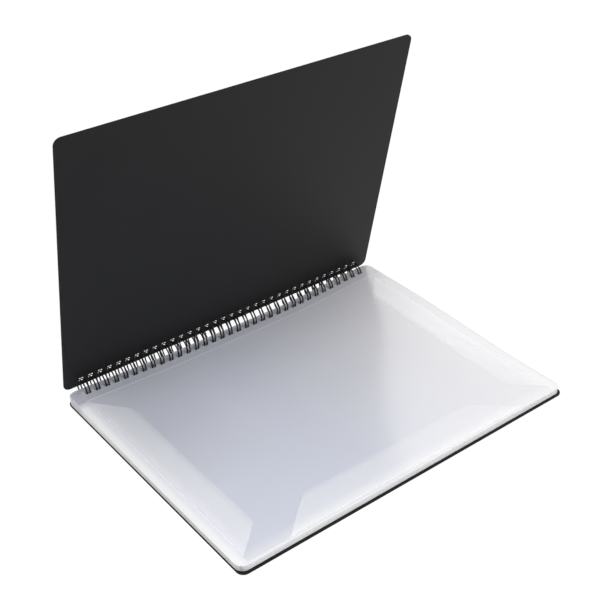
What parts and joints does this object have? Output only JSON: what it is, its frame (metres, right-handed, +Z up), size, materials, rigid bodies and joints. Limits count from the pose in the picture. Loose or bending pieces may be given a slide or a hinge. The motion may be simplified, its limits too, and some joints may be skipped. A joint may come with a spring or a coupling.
{
  "type": "music folder",
  "caption": "Wire-bound music folder lying open, with stiff covers and clear film leaves whose edge flaps hold sheets of music.",
  "frame": {"origin": "centre of the bounding box, on the surface that the folder lies on", "axes": "+X along the binding, +Y towards the binding, +Z up"},
  "size_m": [0.31, 0.2502, 0.2466],
  "materials": {
    "cover_plastic": "satin",
    "wire_coating": "gloss",
    "leaf_film": "gloss",
    "flap_film": "gloss"
  },
  "bodies": {
    "base": {"back_cover": "cover_plastic", "wire_binding": "wire_coating"},
    "front_cover": {"front_cover": "cover_plastic"},
    "leaf_1": {"leaf_1_sheet": "leaf_film", "leaf_1_left_flap": "flap_film", "leaf_1_right_flap": "flap_film", "leaf_1_front_flap": "flap_film"},
    "leaf_2": {"leaf_2_sheet": "leaf_film", "leaf_2_left_flap": "flap_film", "leaf_2_right_flap": "flap_film", "leaf_2_front_flap": "flap_film"},
    "leaf_3": {"leaf_3_sheet": "leaf_film", "leaf_3_left_flap": "flap_film", "leaf_3_right_flap": "flap_film", "leaf_3_front_flap": "flap_film"},
    "leaf_4": {"leaf_4_sheet": "leaf_film", "leaf_4_left_flap": "flap_film", "leaf_4_right_flap": "flap_film", "leaf_4_front_flap": "flap_film"},
    "leaf_5": {"leaf_5_sheet": "leaf_film", "leaf_5_left_flap": "flap_film", "leaf_5_right_flap": "flap_film", "leaf_5_front_flap": "flap_film"},
    "leaf_6": {"leaf_6_sheet": "leaf_film"},
    "left_flap": {"leaf_6_left_flap": "flap_film"},
    "right_flap": {"leaf_6_right_flap": "flap_film"},
    "front_flap": {"leaf_6_front_flap": "flap_film"}
  },
  "joints": [
    {"name": "front_cover_turn", "type": "hinge", "parent": "base", "child": "front_cover", "pos_m": [0, 0.11616, 0.00897], "axis": [-1, 0, 0], "range_deg": [-75.5, 105]},
    {"name": "leaf_1_turn", "type": "hinge", "parent": "base", "child": "leaf_1", "pos_m": [0, 0.11616, 0.00897], "axis": [-1, 0, 0], "range_deg": [0, 26]},
    {"name": "leaf_2_turn", "type": "hinge", "parent": "leaf_1", "child": "leaf_2", "pos_m": [0, 0.11616, 0.00897], "axis": [-1, 0, 0], "range_deg": [0, 26]},
    {"name": "leaf_3_turn", "type": "hinge", "parent": "leaf_2", "child": "leaf_3", "pos_m": [0, 0.11616, 0.00897], "axis": [-1, 0, 0], "range_deg": [0, 26]},
    {"name": "leaf_4_turn", "type": "hinge", "parent": "leaf_3", "child": "leaf_4", "pos_m": [0, 0.11616, 0.00897], "axis": [-1, 0, 0], "range_deg": [0, 26]},
    {"name": "leaf_5_turn", "type": "hinge", "parent": "leaf_4", "child": "leaf_5", "pos_m": [0, 0.11616, 0.00897], "axis": [-1, 0, 0], "range_deg": [0, 26]},
    {"name": "leaf_6_turn", "type": "hinge", "parent": "leaf_5", "child": "leaf_6", "pos_m": [0, 0.11616, 0.00897], "axis": [-1, 0, 0], "range_deg": [0, 26]},
    {"name": "left_flap_lift", "type": "hinge", "parent": "leaf_6", "child": "left_flap", "pos_m": [-0.1465, -0.01328, 0.00614], "axis": [0, -1, -0.0053], "range_deg": [0, 45]},
    {"name": "right_flap_lift", "type": "hinge", "parent": "leaf_6", "child": "right_flap", "pos_m": [0.1465, -0.01328, 0.00614], "axis": [0, 1, 0.0053], "range_deg": [0, 45]},
    {"name": "front_flap_lift", "type": "hinge", "parent": "leaf_6", "child": "front_flap", "pos_m": [0, -0.12068, 0.00557], "axis": [1, 0, 0], "range_deg": [0, 45]}
  ]
}
